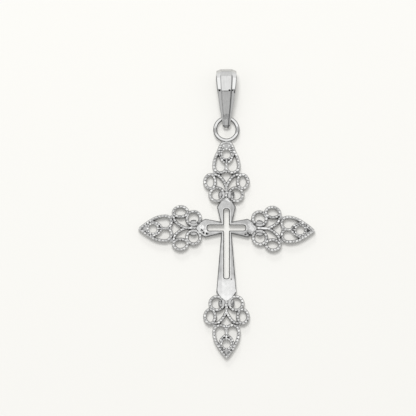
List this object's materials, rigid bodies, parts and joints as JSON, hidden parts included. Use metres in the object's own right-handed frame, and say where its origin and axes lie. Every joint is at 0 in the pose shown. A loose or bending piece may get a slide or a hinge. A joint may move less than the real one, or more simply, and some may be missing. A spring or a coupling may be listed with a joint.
{
  "type": "filigree cross pendant",
  "caption": "Cross pendant in white metal with beaded scroll ends and a cross-shaped window, a soldered ring and a tapered bail that swings on it.",
  "frame": {"origin": "under the middle of the bounding box, on the surface that the back of the pendant lies on", "axes": "+X across the arms to the right as seen from the front, +Y up the cross towards the bail, +Z out of the front"},
  "size_m": [0.0204, 0.0336, 0.0026],
  "materials": {
    "cross_metal": "polished, with finely beaded wires",
    "bail_metal": "polished"
  },
  "bodies": {
    "cross": {"filigree_cross": "cross_metal"},
    "bail": {"bail": "bail_metal"}
  },
  "joints": [
    {"name": "bail_swing", "type": "hinge", "parent": "cross", "child": "bail", "pos_m": [0, 0.01119, 0.00072], "axis": [1, 0, 0], "range_deg": [-145, 130]}
  ]
}
